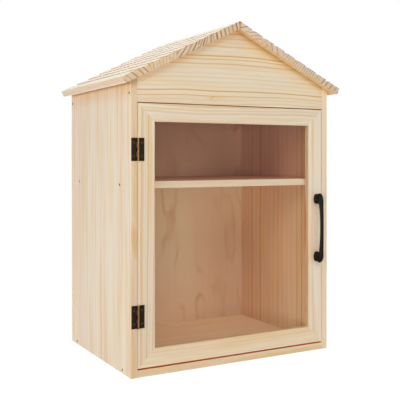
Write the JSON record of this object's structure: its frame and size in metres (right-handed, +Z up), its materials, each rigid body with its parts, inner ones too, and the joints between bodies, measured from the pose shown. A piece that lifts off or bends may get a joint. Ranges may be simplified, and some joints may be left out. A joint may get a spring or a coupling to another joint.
{
  "type": "book cabinet",
  "caption": "Small pine book cabinet shaped like a house, with a stepped gable roof, a fixed shelf and a glazed door on butt hinges.",
  "frame": {"origin": "centre of the cabinet's footprint, on the surface it stands on", "axes": "+X to the right as one faces the door, +Y from the door to the back, +Z up"},
  "size_m": [0.4426, 0.3157, 0.5999],
  "materials": {
    "left_side_wood": "sanded bare pine, edge-glued strips, grain upright",
    "right_side_wood": "sanded bare pine, edge-glued strips, grain upright",
    "bottom_wood": "sanded bare pine, grain across",
    "shelf_wood": "sanded bare pine, grain across",
    "back_plywood": "sanded bare plywood, broad upright figure",
    "front_gable_wood": "sanded bare pine, grain across",
    "rear_gable_wood": "sanded bare pine, grain across",
    "left_roof_wood": "sanded bare pine, grain from front to back, stepped courses",
    "right_roof_wood": "sanded bare pine, grain from front to back, stepped courses",
    "hinge_stile_wood": "sanded bare pine, grain upright",
    "handle_stile_wood": "sanded bare pine, grain upright",
    "top_rail_wood": "sanded bare pine, grain across",
    "bottom_rail_wood": "sanded bare pine, grain across",
    "bead_wood": "sanded bare pine bead",
    "clear_pane": "clear acrylic, glossy",
    "nail_steel": "dull dark steel",
    "hinge_bronze": "dark antique bronze",
    "pin_brass": "worn bright brass",
    "zinc_steel": "zinc-plated steel",
    "black_iron": "satin black coating",
    "catch_plastic": "matte brown",
    "magnet_black": "dull grey"
  },
  "bodies": {
    "cabinet": {"left_side_panel": "left_side_wood", "right_side_panel": "right_side_wood", "bottom_board": "bottom_wood", "shelf": "shelf_wood", "back_panel": "back_plywood", "front_gable_board": "front_gable_wood", "rear_gable_board": "rear_gable_wood", "left_roof_panel": "left_roof_wood", "right_roof_panel": "right_roof_wood", "bottom_nails": "nail_steel", "shelf_nails": "nail_steel", "gable_nails": "nail_steel", "roof_nails": "nail_steel", "back_nails": "nail_steel", "upper_frame_leaf": "hinge_bronze", "lower_frame_leaf": "hinge_bronze", "upper_hinge_pin": "pin_brass", "lower_hinge_pin": "pin_brass", "frame_leaf_screws": "hinge_bronze", "catch_housing": "catch_plastic", "catch_magnet": "magnet_black", "catch_pole_plates": "zinc_steel", "catch_screws": "zinc_steel"},
    "door": {"door_hinge_stile": "hinge_stile_wood", "door_handle_stile": "handle_stile_wood", "door_top_rail": "top_rail_wood", "door_bottom_rail": "bottom_rail_wood", "door_pane": "clear_pane", "left_bead": "bead_wood", "right_bead": "bead_wood", "top_bead": "bead_wood", "bottom_bead": "bead_wood", "bead_pins": "nail_steel", "upper_door_leaf": "hinge_bronze", "lower_door_leaf": "hinge_bronze", "door_leaf_screws": "hinge_bronze", "pull_handle": "black_iron", "handle_screws": "zinc_steel", "strike_plate": "zinc_steel", "strike_screws": "zinc_steel"}
  },
  "joints": [
    {"name": "door_hinge", "type": "hinge", "parent": "cabinet", "child": "door", "pos_m": [-0.1896, -0.1471, 0.233], "axis": [0, 0, -1], "range_deg": [0, 180]}
  ]
}
